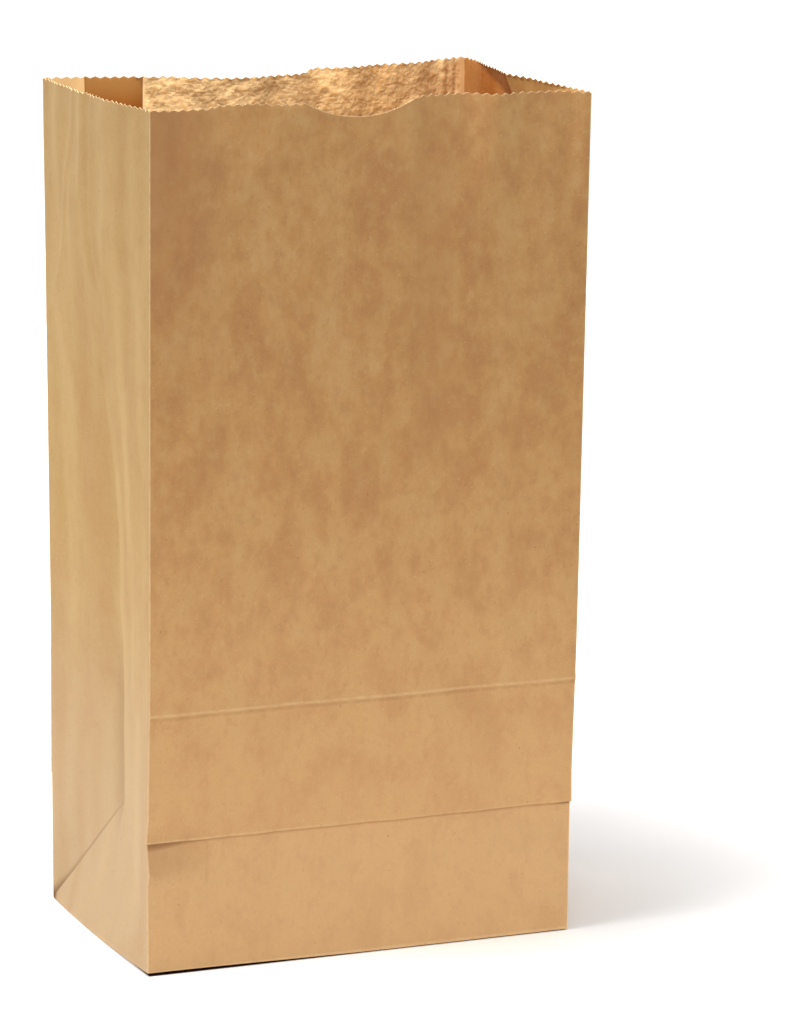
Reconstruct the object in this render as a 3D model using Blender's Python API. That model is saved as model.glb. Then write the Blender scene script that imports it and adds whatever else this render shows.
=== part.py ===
"""Brown paper lunch bag, opened and standing: one sheet of kraft paper, folded and glued, as one closed solid.

A point of the sheet is named by its panel, by how far across the panel it lies and by how high it is. Each
panel says how far its paper stands in from the flat box that the folds were pressed for. The outer skin is
built from those points, a Solidify modifier gives it the thickness of the paper, and the two pinked flaps of
the bottom are joined on underneath. The front of the bag faces -Y and its width runs along X.
"""

import math

import bmesh
import bpy
from mathutils import Vector, noise

MM = 0.001

# The folded sheet
PAPER = 0.12 * MM
BAG_WIDTH = 152.4 * MM
BAG_DEPTH = 92.0 * MM
BAG_HEIGHT = 285.0 * MM

# The pinked edge, and the thumb notch cut into the front of the mouth
TOOTH_PITCH = 3.175 * MM
TOOTH_DEPTH = 0.7 * MM
NOTCH_WIDTH = 39.5 * MM
NOTCH_DEPTH = 5.7 * MM
NOTCH_OFF_CENTRE = -4.3 * MM
NOTCH_MARGIN = 2.5 * MM

# The glued lap that makes the sheet a tube, on the back panel near its left fold
LAP_WIDTH = 19.0 * MM
LAP_FROM_FOLD = 14.0 * MM
LAP_EDGE = 0.3 * MM

# The bottom: how far its two flaps overlap, how wide its soft edge is, and how far that edge lifts
FLAP_OVERLAP = 18.0 * MM
BOTTOM_EDGE = 5.0 * MM
EDGE_LIFT = 0.15 * MM
CORNER_LIFT = 0.9 * MM
CORNER_REACH = 0.2
FRONT_FLAP_SINK, BACK_FLAP_SINK = 0.6, 0.4
FOOT_BULGE = 1.1 * MM
FOOT_BULGE_HEIGHT = 14.0 * MM
FOOT_BULGE_POWER = 0.6
FOOT_SHIFT = -0.6 * MM
FOOT_SHIFT_FADE = (46.0 * MM, 110.0 * MM)

# Creases pressed across the front and back when the bag lay flat, and the marks at their left end
CREASE_DROP = 0.9 * MM
UPPER_CREASE_RISE = 42.7 * MM
LEDGE_DEPTH = 0.7 * MM
LEDGE_BULGE = 0.5 * MM
LEDGE_HEIGHT = 0.8 * MM
LEDGE_FADE = 4
BACK_CREASE_SHARE = 0.6
RIDGE_HEIGHT = 0.4 * MM
RIDGE_WIDTH = 2.5 * MM
DENT_DEPTH = 1.6 * MM
DENT_WIDTH = 20.6 * MM
DENT_HEIGHT = 14.0 * MM
DENT_EDGE = 2.0 * MM
DENT_FADE = 0.6
NICK = 0.9 * MM
NICK_HEIGHT = 9.0 * MM
NICK_UNDER_SHARE = 0.7
NICK_DEPTH_POWER, NICK_WIDTH_POWER = 6, 12

# How far the middle folds of the gussets stand in, where the bottom ends and at the mouth
LEFT_GUSSET_FOOT = 9.3 * MM
LEFT_GUSSET_MOUTH = -2.6 * MM
RIGHT_GUSSET_FOOT = 9.0 * MM
RIGHT_GUSSET_MOUTH = 4.0 * MM
GUSSET_OPEN_HEIGHT = 241.0 * MM
MOUTH_FOLD = 4.0 * MM
MOUTH_FOLD_HEIGHT = 10.0 * MM
MOUTH_FOLD_REACH = 34.0 * MM
RIM_RISE = 0.8 * MM

# The hollow behind the slanting fold at the left gusset's back corner
POCKET = 2.0 * MM
POCKET_REACH = 37.0 * MM
POCKET_START = 5.0 * MM
POCKET_EDGE = 1.5 * MM
POCKET_FADE = (4.0 * MM, 26.0 * MM)

# How far the limp edge of the mouth stands in, in millimetres, at places from the middle of the panel
FRONT_MOUTH = ((-76, 0), (-68, -1.5), (-58, -1), (-51, 4.5), (-40, 5), (-33, 1.5), (-22, 2), (-5, 4.5), (13, 4),
               (21, 8), (31, 8.5), (44, 3.5), (55, 5), (66, 5), (76, 0))
BACK_MOUTH = ((-76, 0), (-62, 1), (-51, 3), (-36, 5), (-24, 11), (-10, 14.5), (6, 13), (18, 9), (27, 10),
              (44, 6.5), (54, 6), (66, 0), (76, -1.5))
FRONT_BOW_START = 0.72 * BAG_HEIGHT
FRONT_BOW_SHARE = 0.35
FRONT_CUT_SHARE = 0.13
BACK_BOW_START = 0.5 * BAG_HEIGHT
BOW_POWER = 1.8
BACK_SAG = 1.2 * MM
SAG_STEP = (11.0 * MM, 16.0 * MM)
SAG_FADE = -14.0 * MM

# How the paper is rumpled
RUMPLE = 0.8 * MM
MOUTH_RUMPLE = 2.6 * MM
RUMPLE_SIZE = 24.0 * MM
RUMPLE_STRETCH = 0.7
RUMPLE_DETAIL = 2.3
RUMPLE_MARGIN = 9.0 * MM
LIMP_HEIGHT = 0.62 * BAG_HEIGHT
CREASE_SHARE = 1.6
SOFT_SHARE = 0.5
RUMPLE_LEVEL = 0.4
FRONT_SEED, BACK_SEED, RIGHT_SEED, LEFT_SEED = 1.5, 7.5, 12.5, 18.5
FRONT_LIMPNESS, BACK_LIMPNESS, GUSSET_LIMPNESS = 0.2, 0.7, 0.35

# How the whole bag has settled: its mouth against its bottom
MOUTH_SPREAD = 4.6 * MM
MOUTH_LEAN = (-2.3 * MM, 4.8 * MM)
MOUTH_TURN = math.radians(1.85)
MOUTH_TILT = 1.7 * MM
MOUTH_WARP = 0.35 * MM

# Mesh density
WIDE_PITCH = 8.5 * MM
GUSSET_COLUMNS = 12
WALL_ROWS = 14
ROW_CROWDING = 1.35

KRAFT_BROWN = (0.49, 0.29, 0.13, 1.0)
PAPER_ROUGHNESS = 0.85

BOTTOM_LAYERS = 3
BOTTOM_LEVEL = (BOTTOM_LAYERS - 1) * PAPER
FOLD_HEIGHT = BAG_DEPTH / 2
LOWER_CREASE = FOLD_HEIGHT - CREASE_DROP
UPPER_CREASE = LOWER_CREASE + UPPER_CREASE_RISE
TOP_ROW = BAG_HEIGHT - NOTCH_DEPTH - TOOTH_DEPTH - NOTCH_MARGIN
HALF_WIDTH = BAG_WIDTH / 2
HALF_DEPTH = BAG_DEPTH / 2


def ramp(value, start, end):
    """Goes smoothly from 0 at start to 1 at end."""
    t = min(1.0, max(0.0, (value - start) / (end - start)))
    return t * t * (3 - 2 * t)


def profile(place, knots):
    """Goes smoothly through knots, each a place and a distance in millimetres."""
    total = knots[0][1]
    for (start, before), (end, after) in zip(knots, knots[1:]):
        total += (after - before) * ramp(place / MM, start, end)
    return total * MM


def rumple(across, height, length, seed, limpness):
    """How far rumpled paper stands in: crossing creases that fade out towards the panel's own folds."""
    margin = ramp(min(across, length - across), 0, RUMPLE_MARGIN) * ramp(height, 0, FOLD_HEIGHT)
    mouth = ramp(height, LIMP_HEIGHT, BAG_HEIGHT)
    size = RUMPLE * (1 - mouth) + MOUTH_RUMPLE * mouth * limpness
    spot = Vector((across / RUMPLE_SIZE, height / RUMPLE_SIZE * RUMPLE_STRETCH, seed))
    creases = CREASE_SHARE * abs(noise.noise(spot)) + SOFT_SHARE * noise.noise(spot * RUMPLE_DETAIL)
    return size * margin * (creases - RUMPLE_LEVEL)


def crease_relief(height):
    """How far the pressed creases move the paper in: a ledge at the lower, a ridge at the upper."""
    under = LEDGE_DEPTH * ramp(height, 0, LOWER_CREASE - LEDGE_HEIGHT)
    over = -LEDGE_BULGE * (1 - ramp(height, LOWER_CREASE, LOWER_CREASE + FOLD_HEIGHT / LEDGE_FADE))
    ledge = over if height >= LOWER_CREASE else under
    ridge = RIDGE_HEIGHT * (1 - ramp(abs(height - UPPER_CREASE), 0, RIDGE_WIDTH))
    return ledge - ridge


def bow(place, height, start, knots):
    """The waves of the mouth, which die out downwards."""
    rise = max(0.0, (height - start) / (BAG_HEIGHT - start))
    return profile(place, knots) * rise ** BOW_POWER


def front_inset(across, height):
    dent = 0.0
    if height < LOWER_CREASE:
        dent = ((1 - ramp(across, DENT_WIDTH - DENT_EDGE, DENT_WIDTH))
                * (1 - DENT_FADE * ramp(across, 0, DENT_WIDTH))
                * ramp(height, LOWER_CREASE - DENT_HEIGHT, LOWER_CREASE - LEDGE_HEIGHT))
    waves = FRONT_BOW_SHARE * bow(across - HALF_WIDTH, height, FRONT_BOW_START, FRONT_MOUTH)
    return (DENT_DEPTH * dent + waves
            + rumple(across, height, BAG_WIDTH, FRONT_SEED, FRONT_LIMPNESS))


def back_inset(across, height):
    return (bow(HALF_WIDTH - across, height, BACK_BOW_START, BACK_MOUTH)
            + rumple(across, height, BAG_WIDTH, BACK_SEED, BACK_LIMPNESS))


def gusset_inset(across, height, foot, mouth, seed):
    """A gusset folds in along its middle. Under the fold height, two slanting folds carry it to the corners."""
    fold = 1 - abs(2 * across / BAG_DEPTH - 1)
    if height < FOLD_HEIGHT:
        return foot * min(fold, height / FOLD_HEIGHT)
    opened = min(1.0, (height - FOLD_HEIGHT) / (GUSSET_OPEN_HEIGHT - FOLD_HEIGHT)) ** 2
    folds = rumple(across, height, BAG_DEPTH, seed, GUSSET_LIMPNESS) * ramp(height, FOLD_HEIGHT, UPPER_CREASE)
    return (foot + (mouth - foot) * opened) * fold + folds


def right_inset(across, height):
    """The right gusset, whose middle leans in at the very mouth over two slanting creases."""
    line = BAG_HEIGHT - MOUTH_FOLD_HEIGHT * (1 - abs(across - HALF_DEPTH) / MOUTH_FOLD_REACH)
    lean = MOUTH_FOLD * max(0.0, height - line) / MOUTH_FOLD_HEIGHT
    return gusset_inset(across, height, RIGHT_GUSSET_FOOT, RIGHT_GUSSET_MOUTH, RIGHT_SEED) + lean


def left_inset(across, height):
    """The left gusset, with its bulging foot and the hollow behind the slanting fold at its back corner."""
    above = height - across
    pocket = 0.0
    if across < HALF_DEPTH:
        pocket = ((1 - ramp(across, 0, POCKET_REACH)) * ramp(across, 0, POCKET_START)
                  * ramp(above, 0, POCKET_EDGE) * (1 - ramp(above, *POCKET_FADE)))
    arch = math.sin(math.pi * across / BAG_DEPTH) ** FOOT_BULGE_POWER
    bulge = arch * (1 - ramp(height, 0, FOOT_BULGE_HEIGHT))
    return (gusset_inset(across, height, LEFT_GUSSET_FOOT, LEFT_GUSSET_MOUTH, LEFT_SEED)
            + POCKET * pocket - FOOT_BULGE * bulge)


class Panel:
    """One panel of the tube, from a start fold along a direction, seen from outside left to right."""

    def __init__(self, start, along, length, inset, columns):
        self.start = Vector(start)
        self.along = Vector(along)
        self.inward = Vector((-along[1], along[0], 0))
        self.length = length
        self.inset = inset
        self.columns = columns

    def place(self, across, height):
        point = self.start + self.along * across + self.inward * self.inset(across, height)
        return settle(Vector((point.x, point.y, height)))


def corner_nick(x, y, height):
    """How far the front's left fold stands in, or out where it's negative, at the end of the lower crease."""
    edge = max(0.0, -y / HALF_DEPTH) ** NICK_DEPTH_POWER * max(0.0, -x / HALF_WIDTH) ** NICK_WIDTH_POWER
    if height >= LOWER_CREASE:
        return -NICK * edge * (1 - ramp(height, LOWER_CREASE, LOWER_CREASE + NICK_HEIGHT))
    dent_foot = LOWER_CREASE - DENT_HEIGHT
    return NICK * NICK_UNDER_SHARE * edge * ramp(height, dent_foot, dent_foot + DENT_EDGE)


def settle(point):
    """Moves a point of the pressed box to where it lies on the bag as it stands."""
    share = point.z / BAG_HEIGHT
    near_front = max(0.0, -point.y / HALF_DEPTH)
    near_back = max(0.0, point.y / HALF_DEPTH)
    x = (point.x + corner_nick(point.x, point.y, point.z)) * (1 + MOUTH_SPREAD / BAG_WIDTH * share)
    x += FOOT_SHIFT * (1 - ramp(point.z, *FOOT_SHIFT_FADE))
    y = point.y + crease_relief(point.z) * (near_front ** 2 - near_back ** 2 * BACK_CREASE_SHARE)
    turn = MOUTH_TURN * share
    rise = MOUTH_TILT * point.x / BAG_WIDTH + MOUTH_WARP * (point.x / HALF_WIDTH) * (point.y / HALF_DEPTH)
    return Vector((
        x * math.cos(turn) - y * math.sin(turn) + MOUTH_LEAN[0] * share,
        x * math.sin(turn) + y * math.cos(turn) + MOUTH_LEAN[1] * share,
        BOTTOM_LEVEL + point.z * (1 - BOTTOM_LEVEL / BAG_HEIGHT) + rise * share,
    ))


def even_steps(length, count):
    return [length * k / count for k in range(count)]


def mouth_columns(knots):
    """Columns on the waves of the mouth and between them, from the panel's left fold on."""
    places = [(place - knots[0][0]) / (knots[-1][0] - knots[0][0]) * BAG_WIDTH for place, inset in knots]
    columns = []
    for start, end in zip(places, places[1:]):
        parts = math.ceil((end - start) / WIDE_PITCH)
        columns += [start + (end - start) * k / parts for k in range(parts)]
    return columns


def front_columns():
    """The front panel's columns, with a close pair at the end of the dent."""
    edges = [DENT_WIDTH - DENT_EDGE, DENT_WIDTH]
    kept = [a for a in mouth_columns(FRONT_MOUTH) if min(abs(a - e) for e in edges) > DENT_EDGE]
    return sorted(kept + edges)


def back_columns():
    """The back panel's columns, with a close pair at each edge of the lap, where the paper becomes double."""
    lap_end = BAG_WIDTH - LAP_FROM_FOLD
    lap_start = lap_end - LAP_WIDTH
    edges = [lap_start, lap_start + LAP_EDGE, lap_end - LAP_EDGE, lap_end]
    mirrored = [(-place, inset) for place, inset in reversed(BACK_MOUTH)]
    kept = [a for a in mouth_columns(mirrored) if min(abs(a - e) for e in edges) > DENT_EDGE]
    return sorted(kept + edges)


def on_lap(panel, across):
    lap_end = BAG_WIDTH - LAP_FROM_FOLD
    slack = LAP_EDGE / 2
    return panel.inset is back_inset and lap_end - LAP_WIDTH + slack < across < lap_end - slack


GUSSET_STEPS = even_steps(BAG_DEPTH, GUSSET_COLUMNS)
PANELS = [
    Panel((-HALF_WIDTH, -HALF_DEPTH, 0), (1, 0, 0), BAG_WIDTH, front_inset, front_columns()),
    Panel((HALF_WIDTH, -HALF_DEPTH, 0), (0, 1, 0), BAG_DEPTH, right_inset, GUSSET_STEPS),
    Panel((HALF_WIDTH, HALF_DEPTH, 0), (-1, 0, 0), BAG_WIDTH, back_inset, back_columns()),
    Panel((-HALF_WIDTH, HALF_DEPTH, 0), (0, -1, 0), BAG_DEPTH, left_inset, GUSSET_STEPS),
]


def wall_heights():
    """Rows of the wall: on the slanting folds' crossings, close about the creases, and crowded to the mouth."""
    steps = GUSSET_COLUMNS // 2
    foot = [FOLD_HEIGHT * k / steps for k in range(steps)]
    ledge = [LOWER_CREASE - LEDGE_HEIGHT, LOWER_CREASE, FOLD_HEIGHT]
    ridge = [UPPER_CREASE - RIDGE_WIDTH, UPPER_CREASE, UPPER_CREASE + RIDGE_WIDTH]
    start = ridge[-1]
    shares = [1 - (1 - k / WALL_ROWS) ** ROW_CROWDING for k in range(1, WALL_ROWS + 1)]
    upper = [start + (TOP_ROW - start) * share for share in shares]
    middle = [(ledge[-1] + ridge[0]) / 2]
    return foot + ledge + middle + ridge + upper


def rim_height(panel, across, is_tip):
    """The cut edge: teeth all round, apart from the smooth arc of the thumb notch in the front."""
    full = BAG_HEIGHT - (0.0 if is_tip else TOOTH_DEPTH)
    place = across - HALF_WIDTH
    if panel.inset is back_inset:
        return full - BACK_SAG * (1 - ramp(-place, *SAG_STEP)) * (1 - ramp(place, -SAG_FADE, HALF_WIDTH))
    if panel.inset is right_inset:
        return full + RIM_RISE * (1 - abs(across / HALF_DEPTH - 1))
    if panel.inset is front_inset:
        cut = FRONT_CUT_SHARE * profile(place, FRONT_MOUTH)
        t = (place - NOTCH_OFF_CENTRE) / (NOTCH_WIDTH / 2)
        return cut + (BAG_HEIGHT - NOTCH_DEPTH * (1 - t * t) if abs(t) < 1 else full)
    return full


def wall_ring(bm, height):
    """One row of vertices round the bag, each with its distance along the sheet."""
    ring = []
    travelled = 0.0
    for panel in PANELS:
        for across in panel.columns:
            vertex = bm.verts.new(panel.place(across, height))
            ring.append((travelled + across, vertex, on_lap(panel, across)))
        travelled += panel.length
    return ring


def rim_ring(bm):
    """The pinked edge of the mouth: a valley and a tip for each tooth, with whole teeth between the folds."""
    ring = []
    travelled = 0.0
    for panel in PANELS:
        teeth = max(2, round(panel.length / TOOTH_PITCH))
        for k in range(2 * teeth):
            across = panel.length * k / (2 * teeth)
            vertex = bm.verts.new(panel.place(across, rim_height(panel, across, k % 2 == 1)))
            ring.append((travelled + across, vertex, on_lap(panel, across)))
        travelled += panel.length
    return ring


def edge_lift(x, y):
    """How far the soft edge of the bottom stands off the ground: most at the front's left corner."""
    left = 1 - ramp(x, -HALF_WIDTH, HALF_WIDTH * CORNER_REACH)
    front = 1 - ramp(y, -HALF_DEPTH, 0)
    return EDGE_LIFT + CORNER_LIFT * left * front


def join_rings(bm, lower, upper):
    """Zips two rings that go the same way round with triangles, always stepping the one that lags."""
    total = sum(panel.length for panel in PANELS)

    def distance(ring, k):
        return ring[k][0] if k < len(ring) else total

    i = j = 0
    while i < len(lower) or j < len(upper):
        a, b = lower[i % len(lower)][1], upper[j % len(upper)][1]
        if j == len(upper) or (i < len(lower) and distance(lower, i + 1) <= distance(upper, j + 1)):
            i += 1
            bm.faces.new((a, lower[i % len(lower)][1], b))
        else:
            j += 1
            bm.faces.new((a, upper[j % len(upper)][1], b))


def join_rows(bm, lower, upper):
    """Joins two wall rows cell by cell. Each cell is split along the slanting fold that may cross it."""
    starts = [(panel, across) for panel in PANELS for across in panel.columns]
    for k, (panel, across) in enumerate(starts):
        n = (k + 1) % len(starts)
        a, b, c, d = lower[k][1], lower[n][1], upper[n][1], upper[k][1]
        rising = across < panel.length / 2 - PAPER
        cells = ((a, b, c), (a, c, d)) if rising else ((a, b, d), (b, c, d))
        for cell in cells:
            bm.faces.new(cell)


def outer_skin():
    """The outside of the paper: the flat bottom, its soft edge, the four panels and the pinked rim."""
    bm = bmesh.new()
    rings = [wall_ring(bm, height) for height in wall_heights()]
    for _, vertex, _ in rings[0]:
        vertex.co.z += edge_lift(vertex.co.x, vertex.co.y)
    rim = rim_ring(bm)
    inner = []
    for travelled, vertex, _ in rings[0]:
        x = vertex.co.x * (1 - BOTTOM_EDGE / HALF_WIDTH)
        y = vertex.co.y * (1 - BOTTOM_EDGE / HALF_DEPTH)
        inner.append((travelled, bm.verts.new((x, y, BOTTOM_LEVEL)), False))
    join_rows(bm, inner, rings[0])
    for lower, upper in zip(rings, rings[1:]):
        join_rows(bm, lower, upper)
    join_rings(bm, rings[-1], rim)
    bm.faces.new([vertex for _, vertex, _ in reversed(inner)])
    double = [ring[k][1] for ring in rings + [rim] for k in range(len(ring)) if ring[k][2]]
    bm.verts.index_update()
    return bm, {vertex.index for vertex in double}


def centre_of_base(bm):
    """The middle of the skin's outline seen from above, which becomes the origin."""
    xs = [vertex.co.x for vertex in bm.verts]
    ys = [vertex.co.y for vertex in bm.verts]
    return Vector(((min(xs) + max(xs)) / 2, (min(ys) + max(ys)) / 2, 0))


def bottom_flap(name, side, underside, top, centre):
    """A flap of the bottom, from the soft edge on one side to its pinked free edge past the middle."""
    long_edge = HALF_WIDTH - BOTTOM_EDGE
    start = -(HALF_DEPTH - BOTTOM_EDGE)
    end = FLAP_OVERLAP / 2
    short_edge = long_edge - (end - start)
    teeth = max(2, round(2 * short_edge / TOOTH_PITCH))
    outline = [(-long_edge, start), (long_edge, start)]
    for k in range(2 * teeth + 1):
        x = short_edge * (1 - k / teeth)
        outline.append((x, end - (TOOTH_DEPTH if k % 2 == 0 else 0.0)))
    if side < 0:
        outline = [(x, -y) for x, y in reversed(outline)]
    bm = bmesh.new()
    face = bm.faces.new([bm.verts.new((x, y, underside)) for x, y in outline])
    raised = bmesh.ops.extrude_face_region(bm, geom=[face])
    for vertex in (v for v in raised["geom"] if isinstance(v, bmesh.types.BMVert)):
        vertex.co.z = top
    bmesh.ops.recalc_face_normals(bm, faces=bm.faces)
    bmesh.ops.translate(bm, verts=bm.verts, vec=-centre)
    mesh = bpy.data.meshes.new(name)
    bm.to_mesh(mesh)
    bm.free()
    flap = bpy.data.objects.new(name, mesh)
    bpy.context.scene.collection.objects.link(flap)
    flap.hide_render = True
    flap.display_type = "WIRE"
    return flap


def kraft_paper():
    material = bpy.data.materials.new("kraft_paper")
    material.use_nodes = True
    shader = material.node_tree.nodes["Principled BSDF"]
    shader.inputs["Base Color"].default_value = KRAFT_BROWN
    shader.inputs["Roughness"].default_value = PAPER_ROUGHNESS
    shader.inputs["Metallic"].default_value = 0.0
    return material


def paper_bag():
    """The bag: the skin, thickened by one paper or, on the lap, by two, with the flaps glued under it."""
    bm, double = outer_skin()
    centre = centre_of_base(bm)
    bmesh.ops.translate(bm, verts=bm.verts, vec=-centre)
    mesh = bpy.data.meshes.new("paper_bag")
    bm.to_mesh(mesh)
    bm.free()
    bag = bpy.data.objects.new("paper_bag", mesh)
    bpy.context.scene.collection.objects.link(bag)
    bag.data.materials.append(kraft_paper())

    plies = bag.vertex_groups.new(name="plies")
    plies.add([v.index for v in mesh.vertices if v.index not in double], 0.5, "REPLACE")
    plies.add(sorted(double), 1.0, "REPLACE")
    thickness = bag.modifiers.new("paper thickness", "SOLIDIFY")
    thickness.thickness = 2 * PAPER
    thickness.offset = -1
    thickness.use_even_offset = True
    thickness.vertex_group = "plies"
    bag.modifiers.new("triangles", "TRIANGULATE")

    front = bottom_flap("front_flap", 1, 0.0, BOTTOM_LEVEL + PAPER * FRONT_FLAP_SINK, centre)
    back = bottom_flap("back_flap", -1, PAPER, BOTTOM_LEVEL + PAPER * BACK_FLAP_SINK, centre)
    for flap in (back, front):
        glue = bag.modifiers.new(flap.name, "BOOLEAN")
        glue.operation = "UNION"
        glue.solver = "EXACT"
        glue.object = flap
    return bag


def main():
    for old in list(bpy.data.objects):
        bpy.data.objects.remove(old)
    paper_bag()


main()
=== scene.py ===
"""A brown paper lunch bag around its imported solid: the folded sheet, its paper and a plain white studio."""

import math

import bpy
import numpy as np
from mathutils import Matrix, Vector, noise


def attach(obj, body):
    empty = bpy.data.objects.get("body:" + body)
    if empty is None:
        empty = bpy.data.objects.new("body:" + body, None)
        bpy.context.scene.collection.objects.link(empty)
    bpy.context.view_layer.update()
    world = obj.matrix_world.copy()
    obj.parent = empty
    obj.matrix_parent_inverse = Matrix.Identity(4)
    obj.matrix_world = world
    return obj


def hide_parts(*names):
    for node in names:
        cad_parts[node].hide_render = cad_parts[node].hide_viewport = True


bl_info = {
    "name": "Paper Lunch Bag",
    "version": (1, 0, 0),
    "blender": (4, 5, 0),
    "location": "View3D > Sidebar > Paper Bag",
    "description": "A folded kraft paper bag with gussets, creases and a pinked mouth",
    "category": "Mesh",
}

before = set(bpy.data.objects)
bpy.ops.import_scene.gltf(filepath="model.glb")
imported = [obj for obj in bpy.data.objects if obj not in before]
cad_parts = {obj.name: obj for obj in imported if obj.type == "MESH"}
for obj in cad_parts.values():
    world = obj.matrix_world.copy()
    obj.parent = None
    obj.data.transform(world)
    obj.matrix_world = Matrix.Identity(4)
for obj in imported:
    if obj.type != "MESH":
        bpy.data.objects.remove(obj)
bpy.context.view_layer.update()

MM = 0.001
NODE = "paper_bag"
PHOTO_WIDTH = 805


def tone(red, green, blue):
    """A screen colour from 0 to 255 as linear light."""
    parts = [value / 255 for value in (red, green, blue)]
    return tuple(v / 12.92 if v <= 0.04045 else ((v + 0.055) / 1.055) ** 2.4 for v in parts)


def named(kind, table, **settings):
    """Properties that a user may change. Each is named after itself and has its description and default."""
    return {name: kind(name=name.replace("_", " ").capitalize(), description=about, default=default,
                       **settings)
            for name, (about, default) in table.items()}


def lengths(**table):
    """Lengths, given in millimetres."""
    table = {name: (about, size * MM) for name, (about, size) in table.items()}
    return named(bpy.props.FloatProperty, table, unit="LENGTH", precision=5)


def shares(**table):
    return named(bpy.props.FloatProperty, table, precision=3)


def limited_shares(**table):
    return named(bpy.props.FloatProperty, table, precision=3, min=0.0, max=1.0)


def powers(**table):
    return named(bpy.props.FloatProperty, table, unit="POWER")


def angles(**table):
    return named(bpy.props.FloatProperty, table, subtype="ANGLE")


def colours(**table):
    """Colours, given as a screen shows them."""
    table = {name: ("Colour " + about, tone(*screen)) for name, (about, *screen) in table.items()}
    return named(bpy.props.FloatVectorProperty, table, subtype="COLOR", size=3, min=0.0, max=1.0)


class BagShape(bpy.types.PropertyGroup):
    """Sizes of the folded sheet and of how it has settled."""

    __annotations__ = lengths(
        paper=("Thickness of the paper", 0.12),
        width=("Width of the pressed box", 152.4),
        depth=("Depth of the pressed box", 92.0),
        height=("Height of the pressed box", 285.0),
        tooth_pitch=("Distance between the teeth of the pinked edge", 3.175),
        tooth_depth=("Depth of the teeth", 0.7),
        notch_width=("Width of the thumb notch", 39.5),
        notch_depth=("Depth of the thumb notch", 5.7),
        notch_off_centre=("Middle of the notch from the middle of the panel", -4.3),
        lap_width=("Width of the glued lap down the back", 19.0),
        lap_from_fold=("Lap's distance from the back's left fold", 14.0),
        flap_overlap=("Overlap of the two bottom flaps", 18.0),
        bottom_edge=("Width of the soft edge round the bottom", 5.0),
        edge_lift=("How far the bottom's edge stands off the ground", 0.15),
        corner_lift=("How much more the front left corner stands off it", 0.9),
        crease_drop=("Lower crease under the top of the bottom folds", 0.9),
        crease_rise=("Upper crease above the lower one", 42.7),
        ledge_depth=("How far the paper stands in under the lower crease", 0.7),
        ledge_bulge=("How far it stands out over it", 0.5),
        ledge_height=("Height of the step at the lower crease", 0.8),
        ridge_height=("How far the upper crease stands out", 0.4),
        ridge_width=("Half width of the upper crease", 2.5),
        dent_depth=("Depth of the dent under the left end of the lower crease", 1.6),
        dent_width=("Width of that dent", 20.6),
        dent_height=("Height of that dent", 14.0),
        nick=("How far the lower crease stands out at the front's left fold", 0.9),
        pocket=("Depth behind the slanting fold of the left gusset at its back corner", 2.0),
        foot_bulge=("How far the left gusset's foot bulges out", 1.1),
        foot_shift=("How far the whole foot stands to the side", -0.6),
        groove=("Depth of the hollow beside the left gusset's middle fold", 1.0),
        left_foot=("How far the left middle fold stands in at its foot", 9.3),
        left_mouth=("How far it stands in at the mouth", -2.6),
        right_foot=("How far the right middle fold stands in at its foot", 9.0),
        right_mouth=("How far it stands in at the mouth", 4.0),
        gusset_open=("Height at which the gussets have opened", 241.0),
        mouth_fold=("How far the right gusset's middle leans in at its very edge", 4.0),
        mouth_fold_height=("Height of that leaning corner", 10.0),
        rim_rise=("How far the right gusset's edge rises at its middle", 0.8),
        back_sag=("How far the back's edge hangs down left of its middle", 1.2),
        rumple=("Height of the soft rumples", 0.8),
        mouth_rumple=("Height of the soft rumples at the mouth", 2.6),
        rumple_size=("Size of the soft rumples", 24.0),
        rumple_margin=("Flat margin beside each fold", 9.0),
        spread=("How much wider the mouth is than the bottom", 4.6),
        lean_x=("How far the mouth leans right", -2.3),
        lean_y=("How far the mouth leans back", 4.8),
        tilt=("How much higher the right end of the mouth is", 1.7),
        warp=("How far the mouth's corners stand out of one plane", 0.35),
        crinkle=("Height of the sharp crinkles where the paper is limp", 0.5),
        crinkle_size=("Size of the sharp crinkles", 2.4),
    ) | shares(
        front_bow=("Share of the front mouth's waves that the paper itself makes", 0.35),
        front_cut=("Share of them that its cut edge makes", 0.13),
        back_bow=("Share of the measured waves of the back's mouth", 1.0),
    ) | angles(
        turn=("Turn of the mouth against the bottom", math.radians(1.85)),
    )


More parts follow.
